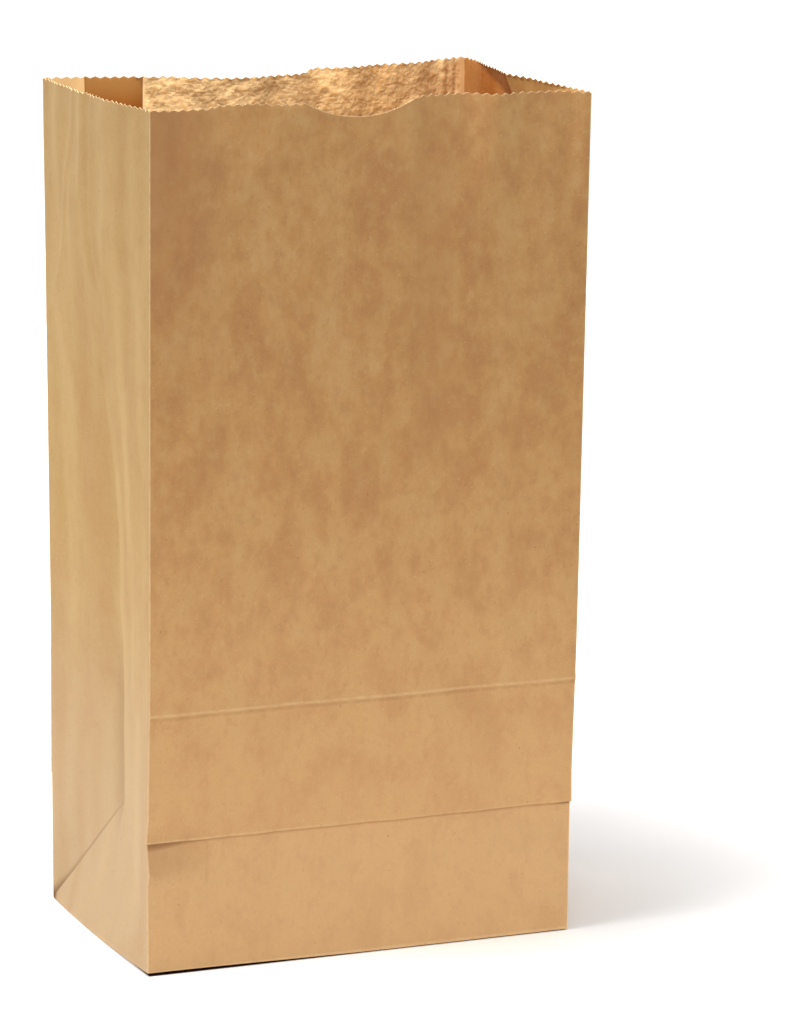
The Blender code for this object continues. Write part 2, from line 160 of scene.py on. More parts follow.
class PaperFinish(bpy.types.PropertyGroup):
    """Colours and relief of the kraft paper, with painted light and shade among the colours."""

    __annotations__ = colours(
        outside=("of the outside", 206, 163, 114),
        # The left gusset's colours: the same paper painted paler as painted light from the left, and its
        # upper part with painted shade, darker and yellower
        side=("of the left gusset, which is paler", 200, 170, 131),
        side_top=("of its upper part, which is yellower", 190, 154, 98),
        # The front's upper colour is painted shade: the same paper, browner and darker where less light falls
        front_top=("of the front's upper part, which is browner", 194, 145, 89),
        inside=("of the inside", 186, 142, 84),
        # Painted glow of light shining through the inside, and painted shade where none does; painted shade
        # in the crumpled inside's hollows; a dimmer painted glow beside the lap; the lap's double paper
        # painted darker, as less light shines through it
        lit_inside=("of the inside where light shines through", 252, 216, 158),
        deep_inside=("of the inside where no light shines through", 140, 74, 13),
        shade=("in the hollows of the crumpled inside", 212, 150, 78),
        inside_edge=("of the inside beside the lap", 200, 164, 112),
        lap=("of the double paper of the lap, from inside", 151, 106, 56),
        red_cloud=("of the redder clouds", 176, 124, 80),
        pale_cloud=("of the paler clouds", 204, 166, 114),
        fibre_light=("of the light fibres", 220, 186, 134),
        fibre_dark=("of the dark fibres", 140, 96, 64),
        speck=("of the bark specks", 118, 80, 52),
        # Worn paper on the folds, with painted highlight; painted shade in the hollows of pressed folds and
        # under the bottom's soft edge
        worn=("of the paper where a fold has cracked it", 232, 198, 150),
        pressed=("in the hollow of a pressed fold", 122, 76, 38),
        under=("under the bottom's soft edge", 96, 64, 42),
        cut=("of the cut edge", 234, 202, 154),
    ) | lengths(
        cloud_size=("Size of the clouds in the paper", 13.0),
        mottle_size=("Size of the mottles in the clouds", 3.8),
        grain_size=("Size of the paper's grain", 0.8),
        fleck_spacing=("Distance between the small flecks", 1.9),
        speck_spacing=("Distance between bark specks", 7.0),
        facet_size=("Size of the facets in the crumpled mouth", 1.7),
        facet_height=("Height of those facets", 0.25),
    ) | limited_shares(
        roughness=("Roughness of the paper", 0.72),
        sheen=("Pale sheen of the paper's fibres", 0.2),
    )


class Studio(bpy.types.PropertyGroup):
    """The camera, lamps and floor."""

    __annotations__ = lengths(
        camera_x=("Camera's place along the width", -577.1),
        camera_y=("Camera's place along the depth", -1362.1),
        camera_z=("Camera's height", 467.4),
    ) | angles(
        yaw=("Turn of the view to the right", 0.42280),
        pitch=("How far the view looks down", 0.21825),
        roll=("Roll of the camera", 0.02572),
    ) | shares(
        focal_pixels=("Focal length in pixels of the 805 pixel wide picture", 4500.0),
        world_strength=("Strength of the white surroundings", 0.45),
        floor_gain=("How much of its light the floor shows the camera beside the bag", 1.30),
        far_floor_gain=("How much of it the floor shows further away", 2.4),
    ) | powers(
        window_power=("Power of the soft lamp on the left", 3.4),
        behind_power=("Power of the soft lamp behind", 8.5),
        high_power=("Power of the lamp high in front", 6.5),
        low_front_power=("Power of the low lamp in front", 0.26),
        low_left_power=("Power of the low lamp on the left", 0.30),
        over_power=("Power of the small lamp over the mouth", 1.0),
    )


def operators(operation):
    """A Math node's operation as one of Python's operators and its reflected form."""
    def plain(self, other):
        return self.math(operation, other)

    def reflected(self, other):
        return self.tree.math(operation, other, self)

    return plain, reflected


class Value:
    """A value in a node tree. An expression on it adds its Math nodes."""

    __add__, __radd__ = operators("ADD")
    __sub__, __rsub__ = operators("SUBTRACT")
    __mul__, __rmul__ = operators("MULTIPLY")
    __truediv__, __rtruediv__ = operators("DIVIDE")

    def __init__(self, tree, socket):
        self.tree = tree
        self.socket = socket

    def __abs__(self):
        return self.math("ABSOLUTE")

    def __neg__(self):
        return self * -1.0

    def math(self, operation, *others):
        return self.tree.math(operation, self, *others)

    def least(self, other):
        return self.math("MINIMUM", other)

    def most(self, other):
        return self.math("MAXIMUM", other)

    def ramp(self, start, end):
        """Goes smoothly from 0 at start to 1 at end."""
        sockets = {"Value": self, "From Min": start, "From Max": end}
        return self.tree.node("ShaderNodeMapRange", {"interpolation_type": "SMOOTHSTEP"}, sockets)


class Tree:
    """A node tree under construction. One method adds any node."""

    def __init__(self, tree):
        self.tree = tree

    def node(self, kind, settings=None, sockets=None, output=0):
        """Adds a node: its settings are set first, then its sockets get their values or links."""
        node = self.tree.nodes.new(kind)
        for name, value in (settings or {}).items():
            setattr(node, name, value)
        for name, value in (sockets or {}).items():
            if isinstance(value, Value):
                self.feed(node, name, value)
            else:
                node.inputs[name].default_value = value
        if isinstance(output, tuple):
            return [Value(self, node.outputs[name]) for name in output]
        return Value(self, node.outputs[output])

    def feed(self, node, name, value):
        """Links a value to a socket."""
        self.tree.links.new(value.socket, node.inputs[name])

    def math(self, operation, *values):
        return self.node("ShaderNodeMath", {"operation": operation}, dict(enumerate(values)))

    def vector(self, operation, *values):
        return self.node("ShaderNodeVectorMath", {"operation": operation}, dict(enumerate(values)))

    def mix(self, factor, first, second):
        """Mixes two colours."""
        first, second = (c if isinstance(c, Value) else (*c, 1.0) for c in (first, second))
        return self.node("ShaderNodeMix", {"data_type": "RGBA"}, {0: factor, 6: first, 7: second}, 2)

    def noise(self, vector, scale, detail=2.0, roughness=0.5, output=0):
        sockets = {"Vector": vector, "Scale": scale, "Detail": detail, "Roughness": roughness}
        return self.node("ShaderNodeTexNoise", {}, sockets, output)

    def object_place(self):
        return self.node("ShaderNodeTexCoord", {}, {}, "Object")


def ramp(value, start, end):
    """Goes smoothly from 0 at start to 1 at end."""
    t = np.clip((value - start) / (end - start), 0.0, 1.0)
    return t * t * (3 - 2 * t)


def profile(value, knots):
    """Goes smoothly through knots, each a place and what it has there."""
    total = np.full_like(value, knots[0][1])
    for (place, level), (next_place, next_level) in zip(knots, knots[1:]):
        total += (next_level - level) * ramp(value, place, next_place)
    return total


# How far the mouth's edge stands in, in millimetres, at places from the panel's middle
FRONT_MOUTH = ((-76, 0), (-68, -1.5), (-58, -1), (-51, 4.5), (-40, 5), (-33, 1.5), (-22, 2), (-5, 4.5),
               (13, 4), (21, 8), (31, 8.5), (44, 3.5), (55, 5), (66, 5), (76, 0))
BACK_MOUTH = ((-76, 0), (-62, 1), (-51, 3), (-36, 5), (-24, 11), (-10, 14.5), (6, 13), (18, 9), (27, 10),
              (44, 6.5), (54, 6), (66, 0), (76, -1.5))
# Long creases of the left gusset: from and to (distance from its back fold, height), how far in, half width
GUSSET_CREASES = (
    ((12, 220), (19.5, 242), -0.45, 2.4), ((19.5, 242), (31, 285), -0.45, 2.6),
    ((2, 205), (12, 220), -0.3, 3.0), ((43.5, 236), (44.5, 285), 0.6, 4.0),
    ((47, 222), (43.5, 236), 0.6, 3.4), ((37, 250), (39, 285), -0.35, 2.6),
    ((58, 236), (61, 285), -0.3, 5.0), ((70, 200), (74, 262), 0.3, 6.0))
# The rumples' seed and their share of the mouth's rumples, for each panel
RUMPLES = {"front": (1.5, 0.2), "right": (12.5, 0.35), "back": (7.5, 0.7), "left": (18.5, 0.35)}
# Shares of the bag's height at which the mouth's rumples and the waves of its front and back begin
RUMPLED_FROM, FRONT_BOWED_FROM, BACK_BOWED_FROM = 0.62, 0.72, 0.5
BOW_POWER = 1.8
# The part under the cut edge that bends with the notch and has the closest rows
RIM_BAND = 26 * MM
# The bulge over the lower crease fades out over this part of the bottom folds' height
LEDGE_FADE = 4
NICK_DEPTH_POWER, NICK_WIDTH_POWER = 6, 12
CRINKLE_SEED = 3.0
# Edges that meet at a sharper angle than this are shaded as creases
CREASE_ANGLE = math.radians(48)
# Keeps a place that lies on a fold on its right side
HAIR = 1e-9


def even_steps(total, count):
    return [total * k / count for k in range(count)]


class Sheet:
    """The folded sheet as four panels. A point has its panel, how far across it lies, and its height."""

    def __init__(self, shape):
        self.shape = shape
        self.fold_height = shape.depth / 2
        self.lower_crease = self.fold_height - shape.crease_drop
        self.upper_crease = self.lower_crease + shape.crease_rise
        self.bottom_level = 2 * shape.paper
        half_width, half_depth = shape.width / 2, shape.depth / 2
        wide, deep = shape.width, shape.depth
        wide_teeth, deep_teeth = round(wide / shape.tooth_pitch), round(deep / shape.tooth_pitch)
        self.fold_steps = deep_teeth
        # Each panel's name, start, direction, width, teeth, and columns for each tooth
        self.panels = [
            ("front", (-half_width, -half_depth), (1, 0), wide, wide_teeth, 2),
            ("right", (half_width, -half_depth), (0, 1), deep, deep_teeth, 2),
            ("back", (half_width, half_depth), (-1, 0), wide, wide_teeth, 4),
            ("left", (-half_width, half_depth), (0, -1), deep, deep_teeth, 2),
        ]
        self.girth = 2 * (wide + deep)

    def rumples(self, name, across, height, total):
        """The same soft rumples as the solid has."""
        shape = self.shape
        seed, mouth_share = RUMPLES[name]
        edge = np.minimum(across, total - across)
        margin = ramp(edge, 0, shape.rumple_margin) * ramp(height, 0, self.fold_height)
        mouth = ramp(height, shape.height * RUMPLED_FROM, shape.height)
        size = shape.rumple * (1 - mouth) + shape.mouth_rumple * mouth * mouth_share
        creases = np.empty_like(across)
        for index, (a, h) in enumerate(zip(across.flat, height.flat)):
            spot = Vector((a / shape.rumple_size, h / shape.rumple_size * 0.7, seed))
            creases.flat[index] = abs(noise.noise(spot)) * 1.6 - 0.4 + 0.5 * noise.noise(spot * 2.3)
        return size * margin * creases

    def relief(self, height):
        """How far the pressed creases move the front or back paper in."""
        shape = self.shape
        under = shape.ledge_depth * ramp(height, 0, self.lower_crease - shape.ledge_height)
        faded = self.lower_crease + self.fold_height / LEDGE_FADE
        over = -shape.ledge_bulge * (1 - ramp(height, self.lower_crease, faded))
        ledge = np.where(height >= self.lower_crease - HAIR, over, under)
        ridge = shape.ridge_height * (1 - ramp(np.abs(height - self.upper_crease), 0, shape.ridge_width))
        return ledge - ridge

    def bow(self, across, height, start, knots):
        """The measured waves of the mouth, which die out downwards."""
        rise = np.maximum(0.0, (height - start) / (self.shape.height - start))
        return MM * profile(across / MM - self.shape.width / MM / 2, knots) * rise ** BOW_POWER

    def long_creases(self, across, height):
        total = np.zeros_like(across)
        for (x0, z0), (x1, z1), depth, half in GUSSET_CREASES:
            dx, dz = (x1 - x0) * MM, (z1 - z0) * MM
            t = np.clip(((across - x0 * MM) * dx + (height - z0 * MM) * dz) / (dx * dx + dz * dz), 0, 1)
            far = np.hypot(across - x0 * MM - t * dx, height - z0 * MM - t * dz)
            total = total + depth * MM * (1 - ramp(far, 0, half * MM))
        return total

    def front(self, across, height):
        shape = self.shape
        dent = ((1 - ramp(across, shape.dent_width * 0.9, shape.dent_width))
                * (1 - 0.6 * ramp(across, 0, shape.dent_width))
                * ramp(height, self.lower_crease - shape.dent_height, self.lower_crease - shape.ledge_height))
        dent = np.where(height < self.lower_crease - HAIR, shape.dent_depth * dent, 0.0)
        bow = self.bow(across, height, shape.height * FRONT_BOWED_FROM, FRONT_MOUTH)
        return dent + shape.front_bow * bow + self.rumples("front", across, height, shape.width)

    def back(self, across, height):
        shape = self.shape
        knots = [(-place, inset) for place, inset in reversed(BACK_MOUTH)]
        bow = self.bow(across, height, shape.height * BACK_BOWED_FROM, knots)
        return shape.back_bow * bow + self.rumples("back", across, height, shape.width)

    def gusset(self, name, across, height, foot, mouth):
        """A gusset folds in along its middle. Low down, two slanting folds carry it to the corners."""
        shape = self.shape
        fold = 1 - np.abs(2 * across / shape.depth - 1)
        span = shape.gusset_open - self.fold_height
        opened = np.clip((height - self.fold_height) / span, 0, 1) ** 2
        folds = (self.rumples(name, across, height, shape.depth)
                 * ramp(height, self.fold_height, self.upper_crease))
        low = foot * np.minimum(fold, height / self.fold_height)
        high = (foot + (mouth - foot) * opened) * fold + folds
        return np.where(height < self.fold_height, low, high)

    def left(self, across, height):
        shape = self.shape
        middle = shape.depth / 2
        above = height - across
        corner = 1 - ramp(across, 0, middle * 0.8)
        pocket = (shape.pocket * corner * ramp(across, 0, 5 * MM) * ramp(above, 0, 1.5 * MM)
                  * (1 - ramp(above, 4 * MM, 26 * MM)) * (across < middle))
        round_foot = np.sin(np.pi * across / shape.depth) ** 0.6 * (1 - ramp(height, 0, 14 * MM))
        bulge = shape.foot_bulge * round_foot
        before = middle - across
        groove = (shape.groove * (before > -HAIR) * (1 - ramp(before, 0, 9 * MM))
                  * ramp(before, -0.1 * MM, 1.6 * MM) * ramp(height, middle * 0.96, middle * 1.1)
                  * (1 - ramp(height, middle * 1.6, middle * 3)))
        return (self.gusset("left", across, height, shape.left_foot, shape.left_mouth) + pocket + groove
                - bulge + self.long_creases(across, height))

    def right(self, across, height):
        shape = self.shape
        slope = shape.mouth_fold_height / (shape.depth * 0.37)
        line = shape.height - shape.mouth_fold_height + slope * np.abs(across - shape.depth / 2)
        lean = shape.mouth_fold * np.maximum(0, height - line) / shape.mouth_fold_height
        return self.gusset("right", across, height, shape.right_foot, shape.right_mouth) + lean

    def inset(self, name, across, height):
        """How far the paper of a panel stands in from the pressed box."""
        return getattr(self, name)(across, height)

    def settle(self, x, y, z):
        """Moves points of the pressed box to where they lie on the bag as it stands."""
        shape = self.shape
        part = z / shape.height
        near_front = np.maximum(0.0, -y / (shape.depth / 2))
        near_back = np.maximum(0.0, y / (shape.depth / 2))
        near_left = np.maximum(0.0, -x / (shape.width / 2))
        edge = near_front ** NICK_DEPTH_POWER * near_left ** NICK_WIDTH_POWER
        crease, dent_foot = self.lower_crease, self.lower_crease - shape.dent_height
        over = (1 - ramp(z, crease, crease + 9 * MM)) * (z > crease - HAIR)
        under = ramp(z, dent_foot, dent_foot + 2 * MM)
        nick = shape.nick * edge * (0.7 * under * (z < crease - HAIR) - over)
        wide = (x + nick) * (1 + shape.spread / shape.width * part)
        wide = wide + shape.foot_shift * (1 - ramp(z, self.fold_height, 110 * MM))
        deep = y + self.relief(z) * (near_front ** 2 - near_back ** 2 * 0.6)
        turn = shape.turn * part
        level = self.bottom_level
        warp = shape.warp * part * x * y / (shape.width * shape.depth / 4)
        return np.stack([
            wide * np.cos(turn) - deep * np.sin(turn) + shape.lean_x * part,
            wide * np.sin(turn) + deep * np.cos(turn) + shape.lean_y * part,
            level + z * (1 - level / shape.height) + shape.tilt * part * x / shape.width + warp,
        ], axis=-1)

    def row_heights(self):
        """Rows of the wall: one on each crossing of the slanting folds, closer at creases and mouth."""
        shape = self.shape
        rows = [self.fold_height * k / self.fold_steps for k in range(self.fold_steps + 1)]
        step = shape.ledge_height
        ledge = [self.lower_crease + step * k for k in (-1, -0.5, 0, 0.5)]
        rows = [h for h in rows if min(abs(h - e) for e in ledge) > step / 4] + ledge
        wide = shape.ridge_width
        ridge = [self.upper_crease + wide * k for k in (-1, -0.4, -0.15, 0, 0.15, 0.4, 1)]
        low = np.linspace(self.fold_height, ridge[0], 13)[1:-1]
        close = shape.height - RIM_BAND
        high = np.linspace(ridge[-1], close, 44)[1:-1]
        top = np.linspace(close, shape.height, 27)
        return np.array(sorted(rows + ridge + list(low) + list(high) + list(top)))

    def rim_drop(self, name, across):
        """How far the cut edge lies under the full height, without its teeth."""
        shape = self.shape
        place = across - shape.width / 2
        if name == "back":
            low_left = ramp(place, -16 * MM, -11 * MM) * (1 - ramp(place, 14 * MM, shape.width / 2))
            return shape.back_sag * low_left
        if name == "front":
            t = (place - shape.notch_off_centre) / (shape.notch_width / 2)
            cut = shape.front_cut * MM * profile(place / MM, FRONT_MOUTH)
            return np.where(np.abs(t) < 1, shape.notch_depth * (1 - t * t), 0.0) - cut
        if name == "right":
            return -shape.rim_rise * (1 - np.abs(2 * across / shape.depth - 1))
        return np.zeros_like(across)

    def limp(self, name, across, height):
        """Where the paper is limp enough to crinkle: the back near the mouth, but not its glued lap."""
        shape = self.shape
        if name == "back":
            lap_end = shape.width - shape.lap_from_fold
            before_lap = 1 - ramp(across, lap_end - shape.lap_width - 2 * MM, lap_end - shape.lap_width)
            mouth = 0.05 + 0.95 * ramp(height, shape.height * 0.66, shape.height * 0.93)
            return mouth * before_lap * ramp(across, 0, 4 * MM)
        if name == "front":
            edge = np.minimum(across, shape.width - across)
            return 0.06 * ramp(edge, 0, 7 * MM) * ramp(height, 0, self.fold_height)
        middle = np.minimum(np.minimum(across, shape.depth - across), np.abs(across - shape.depth / 2))
        return 0.08 * ramp(middle, 0, 5 * MM) * ramp(height, self.fold_height, self.upper_crease * 1.4)

    def wall(self):
        """Grids over the whole wall: points, their distance along the sheet, height and attributes."""
        rows = self.row_heights()
        shape = self.shape
        bend_from = shape.height - RIM_BAND
        grids = {name: [] for name in ("points", "along", "height", "notched", "tooth", "limp", "rising")}
        travelled = 0.0
        for name, start, direction, total, teeth, fine in self.panels:
            across, height = np.meshgrid(np.array(even_steps(total, fine * teeth)), rows)
            drop = self.rim_drop(name, across)
            upper = np.clip((height - bend_from) / (shape.height - bend_from), 0, 1)
            height = height - upper * drop
            inset = self.inset(name, across, height)
            x = start[0] + direction[0] * across - direction[1] * inset
            y = start[1] + direction[1] * across + direction[0] * inset
            grids["points"].append(self.settle(x, y, height))
            grids["along"].append(travelled + across)
            grids["height"].append(height)
            notch = np.abs(across - shape.width / 2 - shape.notch_off_centre) < shape.notch_width / 2 - 1e-6
            grids["notched"].append(notch * (name == "front"))
            grids["tooth"].append(across * teeth / total)
            grids["limp"].append(self.limp(name, across, height))
            grids["rising"].append(across[0] < total / 2 - 1e-6)
            travelled += total
        return {name: np.concatenate(parts, axis=0 if name == "rising" else 1)
                for name, parts in grids.items()}


def sheet_detail():
    """Node tree that cuts the teeth into the rim and crinkles the limp paper, by the sheet's attributes."""
    group = bpy.data.node_groups.new("sheet_detail", "GeometryNodeTree")
    for name, kind in (("Sheet", "Geometry"), ("Tooth depth", "Float"), ("Crinkle height", "Float"),
                       ("Crinkle size", "Float"), ("Seed", "Float"), ("Paper", "Material")):
        group.interface.new_socket(name=name, in_out="INPUT", socket_type="NodeSocket" + kind)
    group.interface.new_socket(name="Sheet", in_out="OUTPUT", socket_type="NodeSocketGeometry")
    tree = Tree(group)
    start = group.nodes.new("NodeGroupInput")
    end = group.nodes.new("NodeGroupOutput")

    def given(name):
        return Value(tree, start.outputs[name])

    def stored(name):
        return tree.node("GeometryNodeInputNamedAttribute", {"data_type": "FLOAT"}, {"Name": name})

    valley = abs(stored("tooth").math("FRACT") * 2.0 - 1.0)
    drop = valley * stored("rim") * given("Tooth depth")
    cut = tree.node("ShaderNodeCombineXYZ", {}, {"Z": -drop})

    spot = tree.node("ShaderNodeCombineXYZ", {}, {
        "X": stored("along") / given("Crinkle size"), "Y": stored("height") / given("Crinkle size") * 0.75,
        "Z": given("Seed")})
    bent = tree.vector("ADD", spot, tree.noise(spot, 0.8, 1.0, output="Color"))
    cells = tree.node("ShaderNodeTexVoronoi", {}, {"Vector": bent, "Scale": 1.0})
    creases = cells + abs(tree.noise(bent, 0.45, 0.0) - 0.5) * 1.4 - 0.6
    height = creases * stored("limp") * given("Crinkle height")
    normal = tree.node("GeometryNodeInputNormal")
    lift = tree.node("ShaderNodeVectorMath", {"operation": "SCALE"}, {0: normal, "Scale": height})
    move = tree.vector("ADD", cut, lift)
    placed = tree.node("GeometryNodeSetPosition", {}, {"Geometry": given("Sheet"), "Offset": move})
    real = tree.node("GeometryNodeRealizeInstances", {}, {"Geometry": placed})
    papered = tree.node("GeometryNodeSetMaterial", {}, {"Geometry": real, "Material": given("Paper")})
    tree.feed(end, 0, papered)
    return group


def set_input(modifier, name, value):
    """Sets a node tree's input by the identifier of the socket with that name."""
    for socket in modifier.node_group.interface.items_tree:
        if socket.item_type == "SOCKET" and socket.in_out == "INPUT" and socket.name == name:
            modifier[socket.identifier] = value
            return
    raise KeyError(name)


class PAPERBAG_OT_sheet(bpy.types.Operator):
    """Fold the sheet into the standing bag"""

    bl_idname = "paperbag.sheet"
    bl_label = "Folded sheet"

    def execute(self, context):
        sheet = Sheet(context.scene.paperbag_shape)
        bag = fold_sheet(sheet, context)
        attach(bag, "root")
        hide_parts(NODE)
        return {"FINISHED"}


def edge_lift(shape, x, y):
    left = 1 - ramp(x, -shape.width / 2, shape.width * 0.1)
    front = 1 - ramp(y, -shape.depth / 2, 0)
    return shape.edge_lift + shape.corner_lift * left * front


def store(mesh, name, values):
    attribute = mesh.attributes.new(name, "FLOAT", "POINT")
    attribute.data.foreach_set("value", np.asarray(values, dtype=np.float32).ravel())


def flap_outline(shape, side):
    """A flap of the bottom, seen from above: from the soft edge on one side to its pinked free edge."""
    long_edge = shape.width / 2 - shape.bottom_edge
    start = shape.bottom_edge - shape.depth / 2
    end = shape.flap_overlap / 2
    short_edge = long_edge - (end - start)
    teeth = round(2 * short_edge / shape.tooth_pitch)
    outline = [(-long_edge, start), (long_edge, start)]
    for k in range(2 * teeth + 1):
        outline.append((short_edge * (1 - k / teeth), end - (shape.tooth_depth if k % 2 == 0 else 0.0)))
    return outline if side > 0 else [(x, -y) for x, y in reversed(outline)]


def fold_edges(mesh, sheet):
    """The edges of the sheet's folds: its corners, the gussets' middles and slants, and the lower crease."""
    shape = sheet.shape
    count = len(mesh.vertices)
    along, height = np.empty(count, np.float32), np.empty(count, np.float32)
    mesh.attributes["along"].data.foreach_get("value", along)
    mesh.attributes["height"].data.foreach_get("value", height)
    ends = np.empty(2 * len(mesh.edges), np.int32)
    mesh.edges.foreach_get("vertices", ends)
    a, b = ends[::2], ends[1::2]
    wide, deep = shape.width, shape.depth
    near = 0.05 * MM
    folds = np.zeros(len(a), bool)
    for place in (0.0, wide, wide + deep / 2, wide + deep, 2 * wide + deep, 2 * wide + 1.5 * deep):
        folds |= (abs(along[a] - place) < near) & (abs(along[b] - place) < near)
    for start in (wide, 2 * wide + deep):
        on_slant = [(along[k] > start) & (along[k] < start + deep)
                    & (abs(np.minimum(along[k] - start, start + deep - along[k]) - height[k]) < near)
                    for k in (a, b)]
        folds |= on_slant[0] & on_slant[1]
    folds |= (abs(height[a] - sheet.lower_crease) < near) & (abs(height[b] - sheet.lower_crease) < near)
    return folds


def sheet_mesh(sheet):
    """The outer skin: flat bottom, soft edge and wall, with the sheet's own map and attributes."""
    shape = sheet.shape
    wall = sheet.wall()
    points, along, heights = wall["points"], wall["along"], wall["height"]
    rows, columns = along.shape
    points[0, :, 2] += edge_lift(shape, points[0, :, 0], points[0, :, 1])
    flat = points[0].copy()
    flat[:, 0] *= 1 - shape.bottom_edge / (shape.width / 2)
    flat[:, 1] *= 1 - shape.bottom_edge / (shape.depth / 2)
    flat[:, 2] = sheet.bottom_level
    vertices = np.concatenate([points.reshape(-1, 3), flat])
    vertices[:, :2] -= (vertices.min(axis=0) + vertices.max(axis=0))[:2] / 2

    faces = []
    spots = []
    lines = [(rows * columns, 0, -shape.bottom_edge, np.zeros(columns))]
    lines += [(row * columns, (row + 1) * columns, heights[row], heights[row + 1]) for row in range(rows - 1)]
    for lower, upper, low, high in lines:
        low = np.broadcast_to(low, (columns,))
        for column in range(columns):
            n = (column + 1) % columns
            left, right = along[0, column], (along[0, n] if n else sheet.girth)
            a, b, c, d = lower + column, lower + n, upper + n, upper + column
            ua, ub, uc, ud = (left, low[column]), (right, low[n]), (right, high[n]), (left, high[column])
            if wall["rising"][column]:
                faces += [(a, b, c), (a, c, d)]
                spots += [ua, ub, uc, ua, uc, ud]
            else:
                faces += [(a, b, d), (b, c, d)]
                spots += [ua, ub, ud, ub, uc, ud]
    ring = range(rows * columns, rows * columns + columns)
    faces.append(tuple(reversed(ring)))
    spots += [(along[0, k], -shape.bottom_edge) for k in reversed(range(columns))]
    flaps = []
    for side, level in ((1, 0.0), (-1, shape.paper)):
        outline = flap_outline(shape, side)
        first = len(vertices) + len(flaps)
        flaps += [(x, y, level) for x, y in outline]
        faces.append(tuple(first + k for k in reversed(range(len(outline)))))
        spots += [(x, -shape.bottom_edge - shape.depth / 2 + y) for x, y in reversed(outline)]
    vertices = np.concatenate([vertices, flaps])

    mesh = bpy.data.meshes.new("bag_sheet")
    mesh.from_pydata(vertices.tolist(), [], faces)
    uv = mesh.uv_layers.new(name="sheet")
    uv.data.foreach_set("uv", np.array(spots, dtype=np.float32).ravel())
    none = np.zeros(columns + len(flaps))
    rim, edge = np.zeros_like(along), np.zeros_like(along)
    rim[-1] = 1 - wall["notched"][-1]
    edge[-1] = 1
    for name, values in (("height", heights), ("along", along), ("tooth", wall["tooth"]),
                         ("limp", wall["limp"]), ("rim", rim), ("edge", edge)):
        store(mesh, name, np.concatenate([values.ravel(), none]))
    return mesh


def fold_sheet(sheet, context):
    """The folded sheet: its skin, pinked and crinkled by its node tree, then given the thickness of paper."""
    shape = sheet.shape
    mesh = sheet_mesh(sheet)
    finish = context.scene.paperbag_finish
    papers = [make(finish, sheet) for make in (outside_paper, inside_paper, cut_paper)]
    for paper in papers:
        mesh.materials.append(paper)
    bag = bpy.data.objects.new("bag_sheet", mesh)
    context.scene.collection.objects.link(bag)
    mesh.shade_smooth()

    detail = bag.modifiers.new("detail", "NODES")
    detail.node_group = sheet_detail()
    for name, value in (("Tooth depth", shape.tooth_depth), ("Crinkle height", shape.crinkle),
                        ("Crinkle size", shape.crinkle_size), ("Seed", CRINKLE_SEED), ("Paper", papers[0])):
        set_input(detail, name, value)
    plies = bag.modifiers.new("thickness", "SOLIDIFY")
    plies.thickness = shape.paper
    plies.offset = -1
    plies.material_offset = 1
    plies.material_offset_rim = 2
    depsgraph = context.evaluated_depsgraph_get()
    plain = bpy.data.meshes.new_from_object(bag.evaluated_get(depsgraph), preserve_all_data_layers=True,
                                            depsgraph=depsgraph)
    bag.modifiers.clear()
    bag.data = plain
    folds = fold_edges(plain, sheet)
    plain.set_sharp_from_angle(angle=CREASE_ANGLE)
    sharp = np.empty(len(plain.edges), bool)
    plain.attributes["sharp_edge"].data.foreach_get("value", sharp)
    plain.attributes["sharp_edge"].data.foreach_set("value", sharp | folds)
    return bag


# How much longer clouds are up the sheet, and grids of streaks and of fibres for each metre
TALL = (1.0, 1.0, 0.7)
STREAKS = (90.0, 90.0, 7.0)
FIBRES = (260.0, 3600.0, 3600.0)
# The part of the "edge" attribute that shows the cut paper
CUT_BAND = (0.66, 0.86)
# Soft edges of the masks of the outside and of the inside
HARD, SOFT = 0.1 * MM, 0.2 * MM
# Heights between which the painted glow of light shining through the inside grows
SHINE = (120 * MM, 250 * MM)


def paper_material(name, finish, gloss=0.15):
    material = bpy.data.materials.new(name)
    material.use_nodes = True
    shader = material.node_tree.nodes["Principled BSDF"]
    shader.inputs["Roughness"].default_value = finish.roughness
    shader.inputs["Specular IOR Level"].default_value = gloss
    shader.inputs["Sheen Weight"].default_value = finish.sheen * gloss
    shader.inputs["Sheen Roughness"].default_value = 0.5
    return material, Tree(material.node_tree), shader


def clouds(tree, tint, layer, high, low):
    """Tints the high parts of a noise and its low parts, each by its start, end, strength and colour."""
    for part, (start, end, strength, shade) in ((layer, high), (1 - layer, low)):
        tint = tree.mix(part.ramp(start, end) * strength, tint, shade)
    return tint


